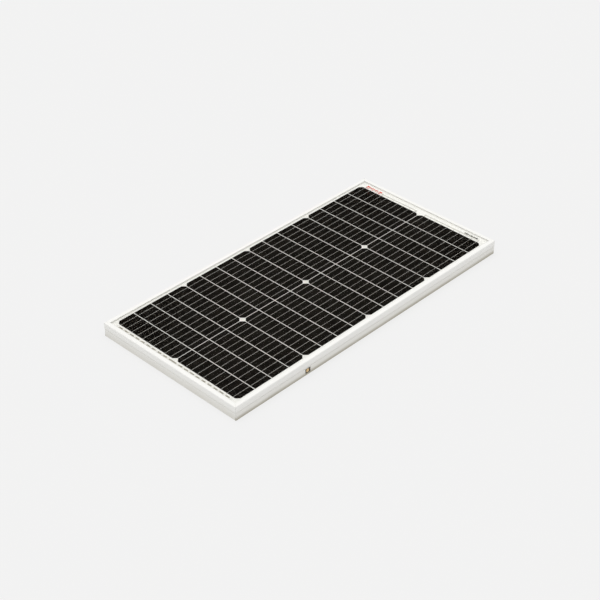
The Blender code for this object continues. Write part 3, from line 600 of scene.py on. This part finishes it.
def add_bar_label(paper, ink):
    """A small white label with dark blocks of different widths."""
    middle, (height, length) = right_margin(LABEL_ALONG, LABEL_ACROSS, -1)
    builder = bmesh.new()
    rounded_plate(builder, middle, (height, length), MARK_THICKNESS, 0.8 * MM)
    add_piece("label_paper", finish_mesh(builder, "label_paper"), paper, "panel")
    builder = bmesh.new()
    inner_gaps = sum(len(group) - 1 for group in LABEL_BARS)
    filled = sum(map(sum, LABEL_BARS)) * MM + LABEL_BAR_GAP * inner_gaps
    group_gap = (length - 2 * LABEL_END - filled) / (len(LABEL_BARS) - 1)
    y = middle.y - length / 2 + LABEL_END
    for group in LABEL_BARS:
        for width in group:
            centre = (middle.x, y + width * MM / 2, middle.z + 0.06 * MM)
            size = (height * LABEL_BAR_HEIGHT, width * MM)
            rounded_plate(builder, centre, size, 0.03 * MM, 0.2 * MM, steps=2)
            y += width * MM + LABEL_BAR_GAP
        y += group_gap - LABEL_BAR_GAP
    add_piece("label_bars", finish_mesh(builder, "label_bars"), ink, "panel")


# ---------------------------------------------------------------- back


def add_polarity_signs(material):
    """A raised plus and minus on the junction box's side, above its glands."""
    builder = bmesh.new()
    along, outward = SIGN_FROM_GLAND
    for name, side in (("gland_nut_positive", 1), ("gland_nut_negative", -1)):
        low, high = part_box(name)
        y = (low.y + high.y) / 2 + side * outward
        z = (low.z + high.z) / 2
        front = low.x + along - 0.3 * MM
        back = low.x + along + 0.2 * MM
        block(builder, (front, y - SIGN_HALF_LENGTH, z - SIGN_HALF_WIDTH),
              (back, y + SIGN_HALF_LENGTH, z + SIGN_HALF_WIDTH))
        if side > 0:
            for up in (-1, 1):
                ends = sorted((z + up * SIGN_HALF_WIDTH, z + up * SIGN_HALF_LENGTH))
                block(builder, (front, y - SIGN_HALF_WIDTH, ends[0]),
                      (back, y + SIGN_HALF_WIDTH, ends[1]))
    add_piece("polarity_signs", finish_mesh(builder, "polarity_signs"), material, "panel")


# ---------------------------------------------------------------- stage


def add_floor():
    builder = bmesh.new()
    bmesh.ops.create_grid(builder, x_segments=1, y_segments=1, size=12)
    floor = bpy.data.objects.new("floor", finish_mesh(builder, "floor"))
    floor.data.materials.append(floor_paper())
    bpy.context.scene.collection.objects.link(floor)
    floor.location.z = -0.2 * MM


def add_soft_light(name, direction, spread, strength):
    """A light like a wide soft box far away, which comes from this direction."""
    data = bpy.data.lights.new(name, "SUN")
    data.angle = math.radians(spread)
    data.energy = strength
    light = bpy.data.objects.new(name, data)
    light.rotation_euler = Vector(direction).to_track_quat("Z", "Y").to_euler()
    light.location = Vector(direction).normalized() * 3
    bpy.context.scene.collection.objects.link(light)


def add_world(strength):
    world = bpy.data.worlds.new("studio")
    world.use_nodes = True
    background = world.node_tree.nodes["Background"]
    background.inputs["Color"].default_value = colour(1.0, 0.995, 0.985)
    background.inputs["Strength"].default_value = strength
    bpy.context.scene.world = world


def add_camera():
    azimuth, elevation = CAMERA_AZIMUTH, CAMERA_ELEVATION
    back = Vector((
        math.sin(azimuth) * math.cos(elevation),
        -math.cos(azimuth) * math.cos(elevation),
        math.sin(elevation),
    ))
    data = bpy.data.cameras.new("camera")
    data.lens = CAMERA_LENS
    data.clip_end = 60
    camera = bpy.data.objects.new("camera", data)
    camera.location = CAMERA_AIM + CAMERA_DISTANCE * back
    level = (-back).to_track_quat("-Z", "Y")
    camera.rotation_euler = (Quaternion(back, CAMERA_ROLL) @ level).to_euler()
    bpy.context.scene.collection.objects.link(camera)
    bpy.context.scene.camera = camera


# ---------------------------------------------------------------- assembly

dress(coated_frame(), "frame_rail_")
dress(cover_glass(), "cover_glass")
dress(clear_film(), "encapsulant_")
dress(silicon(), "cell_")
dress(white_backsheet(), "backsheet")
dress(silicone(), "edge_seal", "junction_box_adhesive")
dress(extruded_metal(), "corner_key_")
dress(brass(), "earthing_screw")
box_plastic = moulded("box_plastic", colour(0.016, 0.016, 0.017), colour(0.03, 0.03, 0.031),
                      1500.0, 0.42)
dress(box_plastic, "junction_box_base", "junction_box_lid", "gland_nut_")
dress(moulded("seal_rubber", colour(0.02, 0.02, 0.02), colour(0.04, 0.039, 0.037), 700.0, 0.62),
      "lid_seal", "cable_seal_")
dress(moulded("diode_epoxy", colour(0.018, 0.018, 0.018), colour(0.028, 0.028, 0.029), 2600.0, 0.3),
      "bypass_diode")
# The cross-connector's tin is darker and duller than the other tin: painted reflection of the dark it
# mirrors.
dress(tin("cross_tin", colour(0.31, 0.295, 0.255), colour(0.44, 0.42, 0.37), 0.2),
      "bus_ribbon_cross")
dress(tin("lead_tin", colour(0.66, 0.65, 0.61), colour(0.76, 0.75, 0.72), 0.3),
      "bus_ribbon_positive", "bus_ribbon_negative")
dress(tin("terminal_tin", colour(0.55, 0.54, 0.51), colour(0.72, 0.71, 0.68), 0.95), "terminal_")

wire_tin = tin("wire_tin", colour(0.42, 0.41, 0.39), colour(0.56, 0.55, 0.52), 0.4)
pad_silver = tin("pad_silver", colour(0.40, 0.39, 0.37), colour(0.52, 0.51, 0.48), 0.2)
# The solder is pale grey, paler than the tin it joins: partly its own colour, partly painted
# highlight.
solder = tin("solder", colour(0.74, 0.73, 0.70), colour(0.84, 0.83, 0.80), 0.15)
add_wires(wire_tin, pad_silver)
add_first_wires(solder)
add_maker_mark(printed("red_ink", colour(0.72, 0.045, 0.018), colour(0.76, 0.08, 0.035)))
add_bar_label(printed("label_paper", colour(0.88, 0.875, 0.85), colour(0.84, 0.835, 0.81)),
              printed("label_ink", colour(0.05, 0.05, 0.048), colour(0.09, 0.09, 0.085)))
add_polarity_signs(box_plastic)

add_floor()
add_world(0.75)
add_soft_light("overhead", (-0.12, 0.0, 1.0), 60, 1.3)
add_camera()

scene = bpy.context.scene
scene.cycles.transparent_max_bounces = 32
scene.view_settings.view_transform = "Standard"
scene.view_settings.look = "None"
